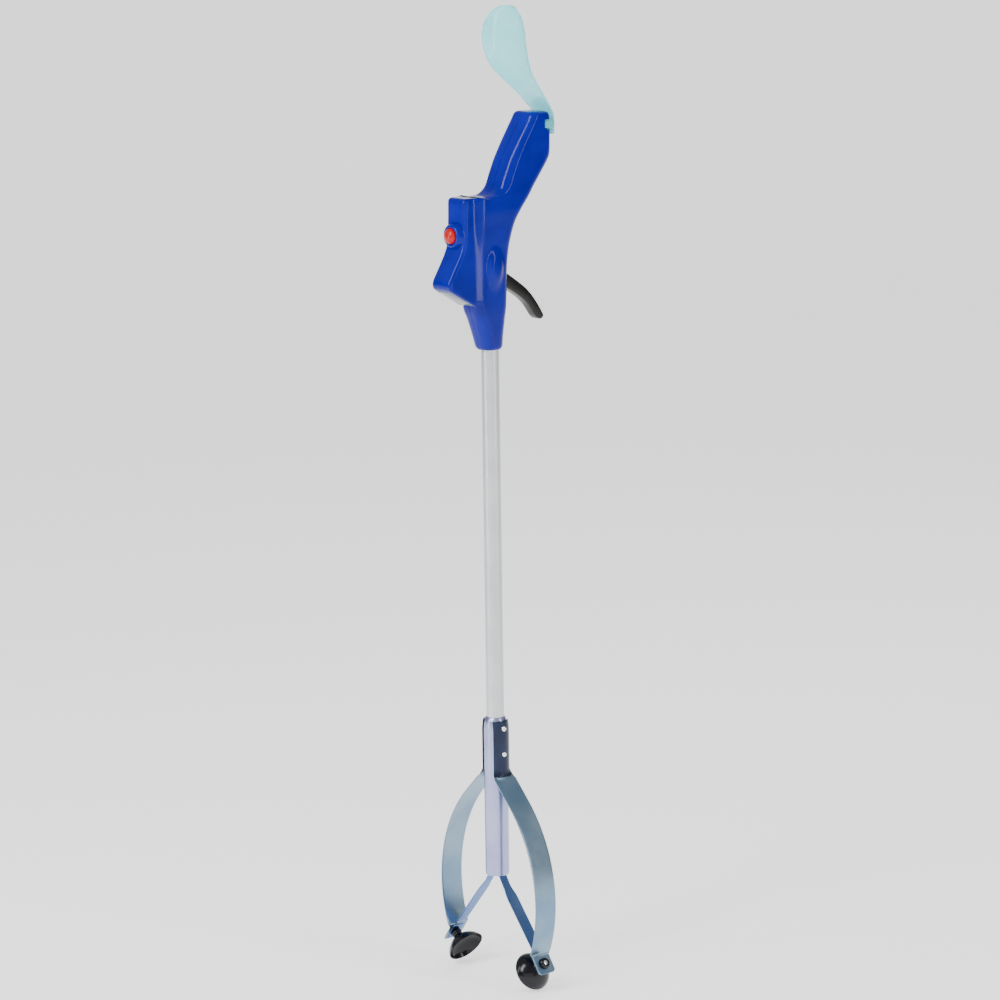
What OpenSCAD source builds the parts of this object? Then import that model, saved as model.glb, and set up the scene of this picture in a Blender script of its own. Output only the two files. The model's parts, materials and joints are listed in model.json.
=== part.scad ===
// Reacher grabber: a pistol handle with a torch and a squeeze trigger, an aluminium tube, and
// two spring-steel jaws with suction cups. The tube runs along Z with the handle at the top.
// X is the direction in which the jaws open, +Y is the trigger side. The origin is on the
// tube's axis, level with the trigger's pivot.

/* [Shaft] */
// Outside diameter of the aluminium tube
tube_d = 16; // [15:0.5:17]
// Wall thickness of the tube
tube_wall = 1.2; // [1:0.1:1.6]
// Drop from the trigger pivot to the top edge of the sleeve
sleeve_drop = 408; // [300:1:520]
// Length of the sleeve
sleeve_len = 150; // [144:1:156]
// Outside diameter of the sleeve
sleeve_d = 22; // [22:0.5:23]
// Diameter of the pull rod
rod_d = 4; // [3.5:0.1:4.2]

/* [Jaws] */
// Width of the outer spring straps
outer_strap_w = 24; // [20:1:26]
// Width of the inner pull straps
inner_strap_w = 12; // [10:1:12]
// Thickness of every strap
strap_t = 0.9; // [0.7:0.1:1]
// Angle of the outer strap from the sleeve where it leaves it
bow_angle = 44; // [42:1:48]
// Straight run of the outer strap before its bow
bow_run = 28; // [24:1:32]
// Bend radius of the outer strap's bow
bow_r = 130; // [122:1:138]
// Angle of the tip tabs from the vertical
tab_lean = 35; // [30:1:40]
// Length and width of the tip tabs
tab_l = 19; // [17:0.5:20]

/* [Suction cups] */
// Rim diameter of a suction cup
cup_d = 36; // [32:1:38]
// Depth from the tab to the rim
cup_depth = 20; // [18:0.5:20]

/* [Handle] */
// Wall thickness of the handle shells
shell_wall = 2.5; // [2:0.1:2.8]
// Width of the torch box
torch_w = 26; // [25:0.5:27]
// Width of the trigger
trigger_w = 12; // [11:0.5:12]
// Width of the shoehorn's scoop
horn_w = 58; // [50:1:60]

/* [Hidden] */

fit = 0.05;
gap = 0.3;
far = 400;
fine = 64;

// Handle outline, one level per row: height, front, back, half width, corner radius
HANDLE = [
    [-68, -11.0, 9.0, 10.0, 9.5],
    [-65, -13.2, 10.2, 11.8, 10.5],
    [-56, -15.5, 10.5, 12.6, 10.5],
    [-41, -20.0, 12.0, 13.4, 10],
    [-27, -24.0, 12.6, 14.0, 8],
    [2, -24.0, 13.3, 14.5, 8],
    [16, -24.0, 14.7, 14.5, 8],
    [30, -24.0, 17.3, 15.0, 8],
    [45, -24.0, 22.5, 15.5, 8],
    [56, -24.0, 29.5, 16.0, 8],
    [67, -24.0, 38.3, 16.0, 8],
    [70.5, 1.0, 41.0, 16.0, 8],
    [76, 4.8, 45.0, 16.0, 8],
    [88, 10.2, 54.2, 16.0, 8],
    [98, 14.8, 62.0, 16.0, 8],
    [104, 17.5, 64.0, 16.0, 8],
    [117, 26.1, 64.3, 16.0, 8],
    [134, 37.5, 63.8, 16.0, 8]
];
handle_top = 134;
cavity_floor = -14;
corner_steps = 6;

// Trigger, rod and spring
pivot_y = -15.5;
pin_r = 2;
pivot_eye_r = 5;
fork_gap = 6.4;
fork_depth = 13;
slot_w = 5.2;
slot_back = 5.6;
slot_front = -2.6;
rod_end_w = 5.6;
rod_end_top = 7;
rod_end_bottom = -9;
shelf_z = 34;
shelf_t = 3;
spring_r = 3;
spring_wire = 0.5;
spring_turns = 8;
tube_top = -16;
tube_pin_z = -45;

// Torch box
torch_front = -37.5;
torch_back = -24.1;
torch_top = 70;
torch_skin = 1.7;
lens_y = -38.5;
lens_z = -18.9;
lens_tilt = 150;
button_z = 37;
boss_r = 11;
boss_face = -44;
button_r = 7;
cell_r = 5.25;
cell_y = -30.2;
cell_bottom = 17;
cell_len = 44.5;

// Screws that join the shells: back from the axis, height
SCREWS = [[-17, 52], [24, 82], [50, 112], [-15, -36]];
screw_r = 1.5;
post_r = 3.6;

// Sleeve, strap roots and yoke
z_sleeve = -sleeve_drop;
z_mouth = z_sleeve - sleeve_len;
sleeve_r = sleeve_d / 2;
sleeve_bore = sleeve_r - 1;
z_hinge = z_sleeve - 56;
hinge_x = sleeve_r + 0.5;
root_r = sleeve_r + fit;
root_top = z_sleeve - 4;
RIVET_Z = [z_sleeve - 10, z_sleeve - 34];
yoke_r = 9.6;
yoke_top = z_sleeve - 98;
yoke_h = 14;
mouth_x = 6.5;
z_fold = z_mouth - 2;
neck_w = 8;

// Outer strap: straight run, then an arc that ends at the fold above the tab
arc_x = hinge_x + bow_run * sin(bow_angle);
arc_z = z_hinge - bow_run * cos(bow_angle);
bow_cx = arc_x - bow_r * cos(bow_angle);
bow_cz = arc_z - bow_r * sin(bow_angle);
bow_end = -21.5;
fold_x = bow_cx + bow_r * cos(bow_end);
fold_z = bow_cz + bow_r * sin(bow_end);
bow_steps = 14;

// Inner strap runs from the mouth of the sleeve to the fold
strap_dx = fold_x - mouth_x;
strap_dz = z_fold - fold_z;
strap_angle = atan2(strap_dx, strap_dz);
strap_len = norm([strap_dx, strap_dz]);
tip_gap = 4;

// Shoehorn spine: back from the axis, height, half width, depth of the scoop
HORN = [
    [67.0, 106, 5, 0.1],
    [67.0, 119, 6, 0.2],
    [66.8, 121, 13, 0.3],
    [66.6, 137, 13, 0.5],
    [62.5, 145, 14.5, 1.5],
    [54.5, 156, 17, 3],
    [45.0, 167, 20.5, 4.5],
    [36.5, 178, 25, 6],
    [31.0, 190, 28, 6.5],
    [28.0, 203, 29, 7],
    [27.0, 216, 27.5, 6.5],
    [27.0, 226, 22, 5],
    [27.4, 232.5, 14, 3.5],
    [27.8, 236, 6, 2]
];
horn_t = 2.4;
horn_steps = 12;

// Points of one level of the handle, counter-clockwise from above
function level(s, inset) =
    let (front = s[1] + inset, back = s[2] - inset, half = s[3] - inset, r = s[4] - inset)
    [for (q = [0:3]) for (k = [0:corner_steps])
        let (
            a = q * 90 + k * 90 / corner_steps,
            cx = (q == 0 || q == 3) ? half - r : r - half,
            cy = (q < 2) ? back - r : front + r
        )
        [cx + r * cos(a), cy + r * sin(a), s[0]]];

// Faces of a solid made of stacked loops of n points
function stack_faces(loops, n) = concat(
    [[for (j = [0:n - 1]) j]],
    [for (i = [0:loops - 2]) for (j = [0:n - 1]) [i * n + j, (i + 1) * n + j, i * n + (j + 1) % n]],
    [for (i = [0:loops - 2]) for (j = [0:n - 1])
        [(i + 1) * n + j, (i + 1) * n + (j + 1) % n, i * n + (j + 1) % n]],
    [[for (j = [n - 1:-1:0]) (loops - 1) * n + j]]
);

module stack(loops) {
    polyhedron([for (l = loops) each l], stack_faces(len(loops), len(loops[0])));
}

// A flat shape drawn in back/height coordinates and given a thickness across X
module across(width) {
    rotate([90, 0, 90]) linear_extrude(width, center = true) children();
}

// A flat shape drawn in X/height coordinates and given a thickness along Y
module along(width) {
    rotate([90, 0, 0]) linear_extrude(width, center = true) children();
}

module rod_x(r, x0, x1, y, z) {
    translate([x0, y, z]) rotate([0, 90, 0]) cylinder(r = r, h = x1 - x0, $fn = fine);
}

module side(s) {
    mirror([s < 0 ? 1 : 0, 0, 0]) children();
}

// The cup's frame at the fold: local Z points out of the cup's mouth, local -X down the tab
module tip_frame() {
    translate([fold_x, 0, fold_z]) rotate([0, -90 - tab_lean, 0]) children();
}

// Handle -------------------------------------------------------------------------------

module handle_cavity() {
    inner = [for (s = HANDLE) if (s[0] > cavity_floor && s[0] < handle_top) s];
    first = [cavity_floor, -24, 13, 14.2, 8];
    last = [handle_top + 1, 38.2, 63.8, 16, 8];
    stack([for (s = concat([first], inner, [last])) level(s, shell_wall)]);
}

module handle_half() {
    difference() {
        union() {
            intersection() {
                union() {
                    difference() {
                        stack([for (s = HANDLE) level(s, 0)]);
                        handle_cavity();
                    }
                    intersection() {
                        stack([for (s = HANDLE) level(s, 0.5)]);
                        union() {
                            for (p = SCREWS) rod_x(post_r, 0, 15, p[0], p[1]);
                            rod_x(pivot_eye_r - 0.4, trigger_w / 2 + gap, 14, pivot_y, 0);
                            translate([0, -21, shelf_z]) cube([14, 38, shelf_t]);
                        }
                    }
                }
                translate([0.02, -far, -far]) cube(2 * far);
            }
            pivot_pad();
        }
        translate([0, 0, -70]) cylinder(r = tube_d / 2 + fit, h = 56, $fn = fine);
        rod_x(pin_r + 0.03, -1, 11, pivot_y, 0);
        rod_x(pin_r - 0.47, -1, 11.5, 0, tube_pin_z);
        translate([-1, 0, -21]) cube([trigger_w / 2 + 1.6, 20, 42]);
        for (p = SCREWS) rod_x(screw_r + fit, -1, 10, p[0], p[1]);
        cap_seat();
    }
}

// Raised oval on each side of the neck, over the pivot
module pivot_pad() {
    translate([13, -5, -12]) rotate([90, 0, 90]) linear_extrude(3.2) {
        translate([0, 9]) circle(r = 9, $fn = fine);
        translate([0, 27]) circle(r = 9, $fn = fine);
        translate([-9, 9]) square([18, 18]);
    }
}

// Room at the back for the shoehorn's hook
module cap_seat() {
    translate([-1, 54, 125]) cube([20, 16, 12]);
}

module handle_shell_right() {
    color("mediumblue") handle_half();
}

module handle_shell_left() {
    color("mediumblue") difference() {
        side(-1) handle_half();
        for (p = SCREWS) {
            rod_x(screw_r + fit, -20, 0, p[0], p[1]);
            rod_x(3, -20, p[1] < 0 ? -11 : -13, p[0], p[1]);
        }
    }
}

module end_cap() {
    top = [
        [handle_top, 37.6, 63.7, 16, 8],
        [handle_top + 4, 39.6, 63.5, 15.8, 7.8],
        [handle_top + 6.5, 42, 61.5, 14, 6.5],
        [handle_top + 7.4, 46, 57.5, 10, 4]
    ];
    plug = [
        [handle_top - 6, 36.6, 60.8, 13.3, 5.2],
        [handle_top, 40.4, 60.8, 13.3, 5.2]
    ];
    color("mediumblue") difference() {
        union() {
            stack([for (s = top) level(s, 0)]);
            stack([for (s = plug) level(s, 0)]);
        }
        translate([-7.2, 56, 126]) cube([14.4, 12, 12]);
        translate([-20, 54, 125]) cube([40, 16, 9]);
    }
}

module handle_screws() {
    color("silver") for (p = SCREWS) {
        seat = p[1] < 0 ? -11 : -13;
        rod_x(screw_r, seat - 1, 9, p[0], p[1]);
        difference() {
            rod_x(2.8, seat - 1.8, seat, p[0], p[1]);
            translate([seat - 2.4, p[0] - 2, p[1] - 0.4]) cube([1.2, 4, 0.8]);
        }
    }
}

// Torch --------------------------------------------------------------------------------

module torch_outline(skin) {
    polygon([
        [torch_back, torch_top + skin],
        [torch_front + skin, torch_top + skin],
        [torch_front + skin, 45],
        [-40 + skin, 24],
        [-54.5 + skin, 0],
        [-56 + skin, -5],
        [-54 + skin * 1.2, -10 + skin * 0.6],
        [-24.1, -27.3 + skin * 1.1]
    ]);
}

module lens_frame() {
    translate([0, lens_y, lens_z]) rotate([lens_tilt, 0, 0]) children();
}

module lens_plate(w, l, t) {
    r = 6;
    linear_extrude(t) {
        square([w - 2 * r, l], center = true);
        square([w, l - 2 * r], center = true);
        for (x = [-1, 1]) for (y = [-1, 1])
            translate([x * (w / 2 - r), y * (l / 2 - r)]) circle(r = r, $fn = fine);
    }
}

module torch_case() {
    color("mediumblue") difference() {
        union() {
            across(torch_w) torch_outline(0);
            translate([0, boss_face, button_z]) rotate([-90, 0, 0])
                cylinder(r = boss_r, h = 7, $fn = fine);
        }
        across(torch_w - 2 * torch_skin) difference() {
            torch_outline(torch_skin);
            translate([-60, torch_top - 4]) square([60, 20]);
        }
        translate([-torch_w / 2 + torch_skin, torch_front + torch_skin, torch_top - 5])
            cube([torch_w - 2 * torch_skin, far, 10]);
        lens_frame() translate([0, 0, -4]) lens_plate(20.4, 28.4, 8);
        lens_frame() translate([0, 0, -1]) lens_plate(22.4, 30.4, 8);
        translate([0, boss_face - 1, button_z]) rotate([-90, 0, 0])
            cylinder(r = button_r + 0.15, h = 10, $fn = fine);
        translate([0, boss_face + 1.5, button_z]) rotate([-90, 0, 0])
            cylinder(r = 8.8, h = 10, $fn = fine);
    }
}

module battery_door() {
    w = torch_w - 2 * torch_skin - 0.1;
    depth = torch_back - torch_front - torch_skin - 0.1;
    color("mediumblue") {
        translate([-w / 2, torch_back - depth, torch_top - 3]) cube([w, depth, 3]);
        translate([-w / 2 + 1, torch_back - depth + 1, torch_top - 6]) cube([w - 2, depth - 2, 3]);
    }
}

module torch_lens() {
    color("gainsboro", 0.5) lens_frame() {
        translate([0, 0, -1]) lens_plate(22.3, 30.3, 1.6);
        translate([0, 0, -2.5]) lens_plate(20.3, 28.3, 1.5);
    }
}

module torch_reflector() {
    color("silver") lens_frame() rotate_extrude($fn = fine)
        polygon([[9.6, -2.6], [8.6, -2.6], [6.4, -8], [2.6, -13], [3.4, -13.6], [7.3, -8.6]]);
}

module torch_led() {
    color("ivory") lens_frame() {
        translate([0, 0, -14.4]) cylinder(r = 2.4, h = 2.6, $fn = fine);
        translate([0, 0, -11.8]) sphere(r = 2.2, $fn = fine);
    }
}

module torch_board() {
    color("darkgreen") lens_frame() translate([-8, -7, -15.6]) cube([16, 14, 1.2]);
}

module battery_cells() {
    color("dimgray") for (x = [-1, 1]) translate([x * 5.5, cell_y, cell_bottom]) {
        cylinder(r = cell_r, h = cell_len - 0.8, $fn = fine);
        translate([0, 0, cell_len - 0.8]) cylinder(r = 1.9, h = 0.8, $fn = fine);
    }
}

module battery_contacts() {
    color("silver") {
        translate([-10, cell_y - 4.5, cell_bottom - 1]) cube([20, 9, 1]);
        for (x = [-1, 1]) translate([x * 5.5 - 4, cell_y - 4, cell_bottom + cell_len]) cube([8, 8, 0.8]);
    }
}

module switch_body() {
    color("black") translate([0, boss_face + 4.2, button_z]) rotate([-90, 0, 0])
        cylinder(r = 8.6, h = 3.6, $fn = fine);
}

module torch_button() {
    color("red") translate([0, boss_face, button_z]) rotate([-90, 0, 0]) {
        intersection() {
            translate([0, 0, 5.2]) sphere(r = 8.8, $fn = fine);
            translate([0, 0, -5]) cylinder(r = button_r - 0.1, h = 7, $fn = fine);
        }
        translate([0, 0, 1.6]) cylinder(r = 8.2, h = 0.9, $fn = fine);
    }
}

// Trigger ------------------------------------------------------------------------------

module trigger_pin() {
    color("silver") rod_x(pin_r, -10.9, 10.9, pivot_y, 0);
}

module trigger_outline() {
    polygon([
        [pivot_y, 5], [-6, 5.2], [3, 4.8], [11, 2.2], [20, -3], [30, -9.8], [38, -15.6],
        [45, -22.2], [51, -29.6], [55.5, -36], [58.2, -40.5], [54.6, -46.4], [50.5, -43.4],
        [46, -37.2], [41, -31], [35, -25.8], [27, -20.4], [18, -15], [8, -9.6], [-2, -7],
        [pivot_y, -5]
    ]);
}

module trigger_lever() {
    color([0.08, 0.08, 0.06]) difference() {
        union() {
            across(trigger_w) trigger_outline();
            rod_x(pivot_eye_r, -trigger_w / 2, trigger_w / 2, pivot_y, 0);
            rod_x(3.4, -trigger_w / 2, trigger_w / 2, 56.1, -43.2);
        }
        translate([-fork_gap / 2, pivot_y - 10, -20]) cube([fork_gap, fork_depth + 10 - pivot_y, 40]);
        rod_x(pin_r + 0.04, -10, 10, pivot_y, 0);
        translate([-trigger_w, slot_front, -slot_w / 2])
            cube([2 * trigger_w, slot_back - slot_front, slot_w]);
    }
}

// Return spring: a wire coil between the rod's end and a shelf across the shells
module return_spring() {
    z0 = rod_end_top + spring_wire + 0.02;
    rise = shelf_z - rod_end_top - 2 * spring_wire - 0.04;
    steps = spring_turns * 12;
    loops = [for (i = [0:steps])
        let (a = i * 30, zc = z0 + rise * i / steps)
        [for (k = [7:-1:0]) let (b = k * 45, r = spring_r - spring_wire + spring_wire * cos(b))
            [r * cos(a), r * sin(a), zc + spring_wire * sin(b)]]];
    color("silver") stack(loops);
}

module rod_end() {
    color("dimgray") difference() {
        translate([-rod_end_w / 2, -4.2, rod_end_bottom])
            cube([rod_end_w, 8.4, rod_end_top - rod_end_bottom]);
        rod_x(pin_r + 0.03, -10, 10, 0, 0);
        translate([0, 0, rod_end_bottom - 1]) cylinder(r = rod_d / 2 + 0.03, h = 6.5, $fn = fine);
    }
}

module cross_pin() {
    color("silver") rod_x(pin_r, -6.2, 6.2, 0, 0);
}

module pull_rod() {
    color("lightgray") translate([0, 0, yoke_top - yoke_h + 2])
        cylinder(r = rod_d / 2, h = rod_end_bottom + 5 - yoke_top + yoke_h - 2, $fn = fine);
}

// Shaft --------------------------------------------------------------------------------

module main_tube() {
    z0 = z_sleeve - 40;
    color("silver") difference() {
        translate([0, 0, z0]) cylinder(r = tube_d / 2, h = tube_top - z0, $fn = fine);
        translate([0, 0, z0 - 1]) cylinder(r = tube_d / 2 - tube_wall, h = 2 * far, $fn = fine);
        rod_x(1.53, -10, -5, 0, tube_pin_z);
        rod_x(1.53, 5, 10, 0, tube_pin_z);
        for (s = [-1, 1]) side(s) for (z = RIVET_Z) rod_x(1.53, 5, 10, 0, z);
    }
}

// Two short pins, one in each shell, lock the tube in the handle and clear the rod
module tube_pin() {
    color("silver") for (s = [-1, 1]) side(s) rod_x(1.5, 5.8, 11.4, 0, tube_pin_z);
}

module rod_bush(z) {
    color("white") difference() {
        translate([0, 0, z]) cylinder(r = tube_d / 2 - tube_wall - 0.02, h = 10, $fn = fine);
        translate([0, 0, z - 1]) cylinder(r = rod_d / 2 + 0.06, h = 12, $fn = fine);
    }
}

module rod_bush_upper() {
    rod_bush(tube_top - 12);
}

module rod_bush_lower() {
    rod_bush(z_sleeve - 24);
}

module sleeve() {
    color("lightsteelblue") difference() {
        rotate_extrude($fn = fine) polygon([
            [tube_d / 2 + 0.05, z_sleeve], [9.1, z_sleeve], [10, z_sleeve - 2.5],
            [sleeve_r, z_sleeve - 8], [sleeve_r, z_mouth + 1], [sleeve_r - 0.3, z_mouth],
            [sleeve_bore, z_mouth], [sleeve_bore, z_sleeve - 8], [tube_d / 2 + 0.05, z_sleeve - 5]
        ]);
        for (s = [-1, 1]) side(s) for (z = RIVET_Z) rod_x(1.53, 5, 14, 0, z);
    }
}

module sleeve_bush() {
    color("white") difference() {
        translate([0, 0, z_sleeve - 40]) cylinder(r = sleeve_bore - 0.03, h = 31, $fn = fine);
        translate([0, 0, z_sleeve - 41]) cylinder(r = tube_d / 2 + 0.04, h = 40, $fn = fine);
        for (s = [-1, 1]) side(s) for (z = RIVET_Z) rod_x(1.53, 5, 14, 0, z);
    }
}

// Jaws ---------------------------------------------------------------------------------

module strap_root(s) {
    color("slategray") side(s) difference() {
        intersection() {
            translate([0, 0, z_hinge]) cylinder(r = root_r + strap_t, h = root_top - z_hinge, $fn = fine);
            translate([3, -10.2, z_hinge]) cube([20, 20.4, root_top - z_hinge]);
        }
        translate([0, 0, z_hinge - 1]) cylinder(r = root_r, h = far, $fn = fine);
        for (z = RIVET_Z) rod_x(1.53, 5, 14, 0, z);
    }
}

module strap_root_left() {
    strap_root(-1);
}

module strap_root_right() {
    strap_root(1);
}

module strap_rivets() {
    color("white") for (s = [-1, 1]) side(s) for (z = RIVET_Z) {
        translate([root_r + strap_t, 0, z]) rotate([0, 90, 0]) rotate_extrude($fn = fine)
            polygon([[0, -4.5], [1.5, -4.5], [1.5, 0.02], [2.5, 0.02], [2.2, 0.7], [1.3, 1.2], [0, 1.3]]);
    }
}

module strap_yoke() {
    color("dimgray") difference() {
        translate([0, 0, yoke_top - yoke_h]) cylinder(r = yoke_r, h = yoke_h, $fn = fine);
        translate([0, 0, yoke_top - yoke_h + 2]) cylinder(r = rod_d / 2 + 0.03, h = yoke_h, $fn = fine);
        for (s = [-1, 1]) side(s) {
            translate([mouth_x - strap_t / 2, -10, yoke_top - yoke_h - 1]) cube([10, 20, yoke_h + 2]);
            rod_x(1.28, 3.5, 10, 0, yoke_top - yoke_h / 2);
        }
    }
}

module yoke_screws() {
    z = yoke_top - yoke_h / 2;
    color("silver") for (s = [-1, 1]) side(s) {
        rod_x(1.25, 3.6, mouth_x + strap_t / 2 + 0.1, 0, z);
        rod_x(2.4, mouth_x + strap_t / 2 + 0.02, mouth_x + strap_t / 2 + 1.2, 0, z);
    }
}

module yoke_strap(s) {
    h = yoke_top - z_fold;
    color("lightsteelblue") side(s) difference() {
        union() {
            translate([mouth_x - strap_t / 2, -inner_strap_w / 2, z_fold + 14])
                cube([strap_t, inner_strap_w, h - 14]);
            translate([mouth_x - strap_t / 2, -neck_w / 2, z_fold + gap])
                cube([strap_t, neck_w, 20]);
        }
        rod_x(1.28, 3, 10, 0, yoke_top - yoke_h / 2);
    }
}

module yoke_strap_left() {
    yoke_strap(-1);
}

module yoke_strap_right() {
    yoke_strap(1);
}

module inner_strap(s) {
    neck = 14;
    color("lightsteelblue") side(s) translate([mouth_x, 0, z_fold]) rotate([0, -strap_angle, 0]) {
        translate([-strap_t / 2, -neck_w / 2, -neck]) cube([strap_t, neck_w, neck - gap]);
        translate([-strap_t / 2, -inner_strap_w / 2, tip_gap - strap_len])
            cube([strap_t, inner_strap_w, strap_len - tip_gap - neck]);
    }
}

module inner_strap_left() {
    inner_strap(-1);
}

module inner_strap_right() {
    inner_strap(1);
}

// Centre line of the bow, moved out by an offset
function bow_line(out) = concat(
    [[hinge_x + out * cos(bow_angle) + gap * sin(bow_angle),
      z_hinge + out * sin(bow_angle) - gap * cos(bow_angle)]],
    [for (i = [0:bow_steps])
        let (a = bow_angle + (bow_end - bow_angle) * i / bow_steps)
        [bow_cx + (bow_r + out) * cos(a), bow_cz + (bow_r + out) * sin(a)]]
);

function back_to_front(l) = [for (i = [len(l) - 1:-1:0]) l[i]];

module outer_strap(s) {
    half = strap_t / 2;
    color("slategray") side(s) difference() {
        union() {
            along(outer_strap_w) polygon(concat(bow_line(half), back_to_front(bow_line(-half))));
            tip_frame() translate([-tab_l, -tab_l / 2, -strap_t]) cube([tab_l + 0.5, tab_l, strap_t]);
        }
        tip_frame() translate([-tab_l / 2, 0, -5]) cylinder(r = 1.53, h = 10, $fn = fine);
    }
}

module outer_strap_left() {
    outer_strap(-1);
}

module outer_strap_right() {
    outer_strap(1);
}

module strap_foot(s) {
    color("lightsteelblue") side(s) tip_frame() difference() {
        translate([1.5 - tab_l, -inner_strap_w / 2, 0.01]) cube([tab_l - 1.8, inner_strap_w, strap_t]);
        translate([-tab_l / 2, 0, -5]) cylinder(r = 1.53, h = 10, $fn = fine);
    }
}

module strap_foot_left() {
    strap_foot(-1);
}

module strap_foot_right() {
    strap_foot(1);
}

module cup_knob(s) {
    color("black") side(s) tip_frame() translate([-tab_l / 2, 0, -strap_t - 0.01]) difference() {
        rotate_extrude($fn = fine)
            polygon([[0, 0], [5.2, 0], [5.2, -1.4], [4.2, -3], [2.5, -3.6], [0, -3.6]]);
        translate([0, 0, -5]) cylinder(r = 1.53, h = 10, $fn = fine);
        translate([0, 0, -5]) cylinder(r = 2.6, h = 3, $fn = fine);
    }
}

module cup_knob_left() {
    cup_knob(-1);
}

module cup_knob_right() {
    cup_knob(1);
}

module tab_screw(s) {
    color("silver") side(s) tip_frame() translate([-tab_l / 2, 0, 0]) {
        translate([0, 0, -strap_t - 2.2]) cylinder(r = 1.5, h = strap_t + 7.2, $fn = fine);
        translate([0, 0, -strap_t - 3.35]) cylinder(r = 2.5, h = 1.3, $fn = fine);
    }
}

module tab_screw_left() {
    tab_screw(-1);
}

module tab_screw_right() {
    tab_screw(1);
}

module suction_cup(s) {
    rim = cup_d / 2;
    d = cup_depth;
    z0 = strap_t + 0.02;
    color([0.06, 0.06, 0.07]) side(s) tip_frame() translate([-tab_l / 2, 0, 0]) difference() {
        rotate_extrude($fn = fine) polygon([
            [0, z0], [5, z0], [5.4, 3], [4.6, 5.5], [5.6, 7.5], [9, 9.5], [13.5, 12.5],
            [16.4, 15.8], [rim, d - 0.6], [rim - 0.2, d], [rim - 0.9, d], [15.2, 16.6],
            [12.3, 14.2], [8, 12], [3, 11], [0, 10.8]
        ]);
        translate([0, 0, -1]) cylinder(r = 1.53, h = 7.5, $fn = fine);
    }
}

module suction_cup_left() {
    suction_cup(-1);
}

module suction_cup_right() {
    suction_cup(1);
}

// Shoehorn -----------------------------------------------------------------------------

// One level of the scoop: an arc of thickness horn_t, hollow towards the front
function horn_level(p) =
    let (k = horn_w / 58, half = p[2] * k, depth = p[3])
    concat(
        [for (i = [0:horn_steps]) let (x = half * (2 * i / horn_steps - 1))
            [x, p[0] - depth * pow(x / half, 2) - horn_t / 2, p[1]]],
        [for (i = [horn_steps:-1:0]) let (x = half * (2 * i / horn_steps - 1))
            [x, p[0] - depth * pow(x / half, 2) + horn_t / 2, p[1]]]
    );

module shoehorn() {
    color("paleturquoise", 0.6) {
        stack([for (p = HORN) horn_level(p)]);
        translate([-15.8, 55, 126]) cube([31.6, 11.5, 7]);
        translate([-6.5, 57, 127]) cube([13, 2.6, 8]);
    }
}

handle_shell_left();
handle_shell_right();
end_cap();
handle_screws();
torch_case();
battery_door();
torch_lens();
torch_reflector();
torch_led();
torch_board();
battery_cells();
battery_contacts();
switch_body();
torch_button();
trigger_pin();
trigger_lever();
return_spring();
main_tube();
tube_pin();
rod_bush_upper();
rod_bush_lower();
pull_rod();
rod_end();
cross_pin();
sleeve();
sleeve_bush();
strap_root_left();
strap_root_right();
strap_rivets();
strap_yoke();
yoke_screws();
yoke_strap_left();
yoke_strap_right();
inner_strap_left();
inner_strap_right();
outer_strap_left();
outer_strap_right();
strap_foot_left();
strap_foot_right();
tab_screw_left();
tab_screw_right();
cup_knob_left();
cup_knob_right();
suction_cup_left();
suction_cup_right();
shoehorn();
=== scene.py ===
import json
from math import atan2, cos, hypot, pi, radians, sin, sqrt

import bmesh
import bpy
from mathutils import Matrix, Vector


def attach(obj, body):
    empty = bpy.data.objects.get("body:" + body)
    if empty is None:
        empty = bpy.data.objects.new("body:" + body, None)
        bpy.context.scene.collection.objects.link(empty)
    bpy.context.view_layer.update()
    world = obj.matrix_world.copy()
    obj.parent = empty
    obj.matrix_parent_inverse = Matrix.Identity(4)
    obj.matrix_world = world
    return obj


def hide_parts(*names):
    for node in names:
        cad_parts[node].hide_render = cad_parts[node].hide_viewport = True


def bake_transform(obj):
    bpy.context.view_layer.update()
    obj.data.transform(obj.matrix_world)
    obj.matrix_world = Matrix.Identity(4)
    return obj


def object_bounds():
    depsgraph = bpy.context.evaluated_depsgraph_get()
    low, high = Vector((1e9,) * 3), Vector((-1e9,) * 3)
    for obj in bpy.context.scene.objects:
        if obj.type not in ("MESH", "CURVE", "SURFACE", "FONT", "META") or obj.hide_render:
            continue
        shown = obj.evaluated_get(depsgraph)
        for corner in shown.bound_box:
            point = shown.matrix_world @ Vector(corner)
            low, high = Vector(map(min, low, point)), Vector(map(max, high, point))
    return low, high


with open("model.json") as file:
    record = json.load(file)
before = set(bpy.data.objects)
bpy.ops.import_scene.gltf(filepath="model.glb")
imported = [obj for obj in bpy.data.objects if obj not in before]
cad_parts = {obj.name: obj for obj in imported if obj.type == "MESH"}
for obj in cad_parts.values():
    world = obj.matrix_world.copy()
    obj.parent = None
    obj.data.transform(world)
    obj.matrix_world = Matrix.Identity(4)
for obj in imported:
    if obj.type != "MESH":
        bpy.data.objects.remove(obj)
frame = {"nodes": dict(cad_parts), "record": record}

cad_box = [list(corner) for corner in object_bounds()]
MM = 0.001
ROOT = "grabber_frame"

# ---------------------------------------------------------------- camera, floor and light tools

VIEW_AZIMUTH = radians(50)
VIEW_ELEVATION = radians(11.5)
VIEW_ROLL = radians(-0.8)
VIEW_DISTANCE = 3.1
VIEW_LENS = 123.5
VIEW_TARGET = Vector((0.0045, 0.0054, -0.2065))
LAMP_TARGET = Vector((0, 0, -0.2))

# The floor is a round bowl: radius of its flat part, radius of its bend, facets
STAGE_FLAT, STAGE_BEND, STAGE_RINGS, STAGE_STEPS = 7.0, 4.0, 14, 96
STAGE_DROP = 0.002
# Distance to either side of the view where the floor starts and ends its shading, and its tones
SHADE_START, SHADE_STOP, PALE, DARK = 2.8, 7.0, 0.95, 0.12


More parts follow.
